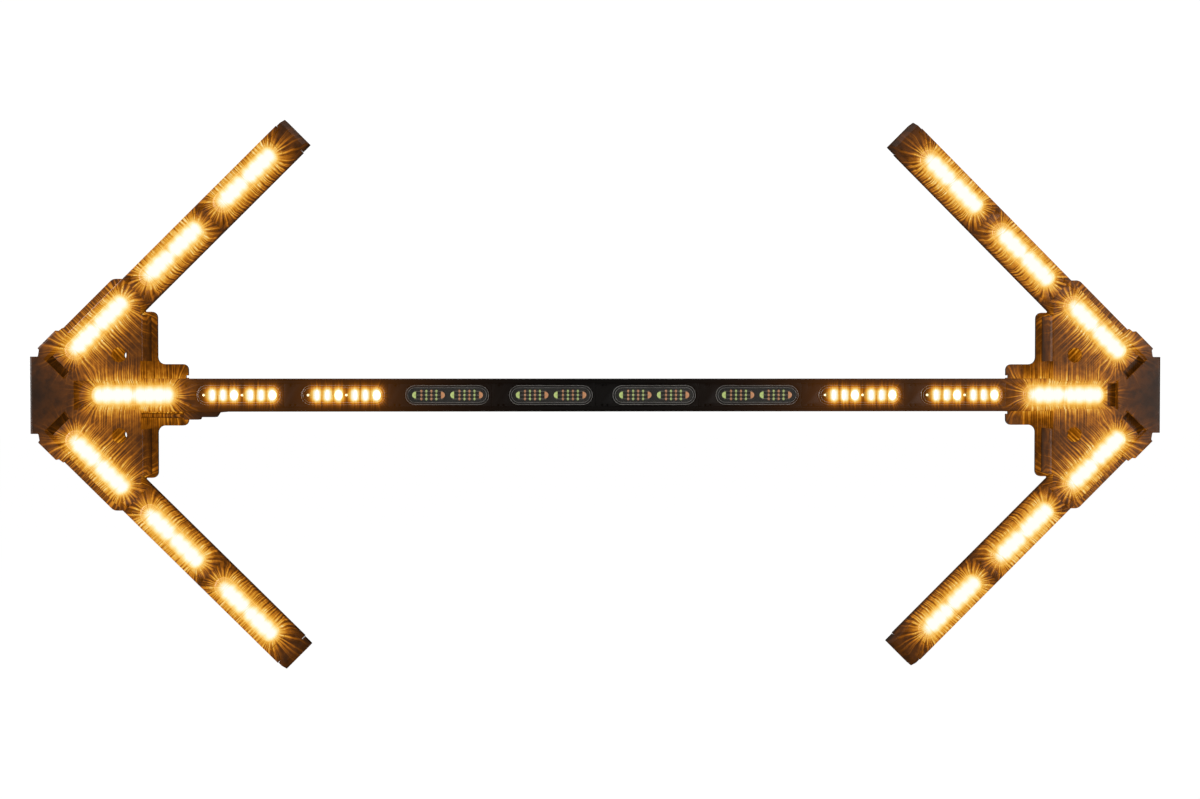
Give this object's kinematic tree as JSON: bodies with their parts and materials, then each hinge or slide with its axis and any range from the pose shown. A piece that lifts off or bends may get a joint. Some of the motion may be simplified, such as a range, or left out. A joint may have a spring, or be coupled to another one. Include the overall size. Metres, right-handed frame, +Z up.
{
  "type": "led arrow board",
  "caption": "Double-headed traffic arrow board built from LED light sticks, with folded hub covers at both ends and bolt holes for a carrier.",
  "frame": {"origin": "middle of the board, halfway through its depth", "axes": "+X along the bar to the right as seen from the front, +Y out of the back, +Z up; the lamps face -Y"},
  "size_m": [1.1306, 0.0326, 0.5484],
  "materials": {
    "anodised_aluminium": "black anodised extrusion, satin with fine lines along its length",
    "powder_coated_steel": "black powder coat, low sheen, fine orange peel",
    "clear_lens": "clear polycarbonate over unlit yellow-green and amber emitters",
    "lit_lens": "clear polycarbonate over lit amber emitters",
    "moulded_black": "black moulded nylon, matt with a fine texture",
    "circuit_board": "black solder mask",
    "lead_rubber": "black cable jacket and moulded rubber",
    "zinc_steel": "zinc-plated steel"
  },
  "bodies": {
    "root": {"bar_circuit_board": "circuit_board", "bar_clamp_left": "zinc_steel", "bar_clamp_right": "zinc_steel", "bar_end_cap_left": "moulded_black", "bar_end_cap_right": "moulded_black", "bar_housing": "anodised_aluminium", "bar_module_01": "lit_lens", "bar_module_02": "lit_lens", "bar_module_03": "lit_lens", "bar_module_04": "clear_lens", "bar_module_05": "clear_lens", "bar_module_06": "clear_lens", "bar_module_07": "clear_lens", "bar_module_08": "lit_lens", "bar_module_09": "lit_lens", "bar_module_10": "lit_lens", "feed_shoe": "lead_rubber", "hub_cover_left": "powder_coated_steel", "hub_cover_right": "powder_coated_steel", "hub_loom_left": "lead_rubber", "hub_loom_right": "lead_rubber", "hub_plate_left": "powder_coated_steel", "hub_plate_right": "powder_coated_steel", "lower_left_circuit_board": "circuit_board", "lower_left_clamp": "zinc_steel", "lower_left_housing": "anodised_aluminium", "lower_left_inner_cap": "moulded_black", "lower_left_module_1": "lit_lens", "lower_left_module_2": "lit_lens", "lower_left_module_3": "lit_lens", "lower_left_tip_cap": "moulded_black", "lower_right_circuit_board": "circuit_board", "lower_right_clamp": "zinc_steel", "lower_right_housing": "anodised_aluminium", "lower_right_inner_cap": "moulded_black", "lower_right_module_1": "lit_lens", "lower_right_module_2": "lit_lens", "lower_right_module_3": "lit_lens", "lower_right_tip_cap": "moulded_black", "power_inlet": "moulded_black", "supply_lead": "lead_rubber", "upper_left_circuit_board": "circuit_board", "upper_left_clamp": "zinc_steel", "upper_left_housing": "anodised_aluminium", "upper_left_inner_cap": "moulded_black", "upper_left_module_1": "lit_lens", "upper_left_module_2": "lit_lens", "upper_left_module_3": "lit_lens", "upper_left_tip_cap": "moulded_black", "upper_right_circuit_board": "circuit_board", "upper_right_clamp": "zinc_steel", "upper_right_housing": "anodised_aluminium", "upper_right_inner_cap": "moulded_black", "upper_right_module_1": "lit_lens", "upper_right_module_2": "lit_lens", "upper_right_module_3": "lit_lens", "upper_right_tip_cap": "moulded_black"}
  },
  "joints": []
}
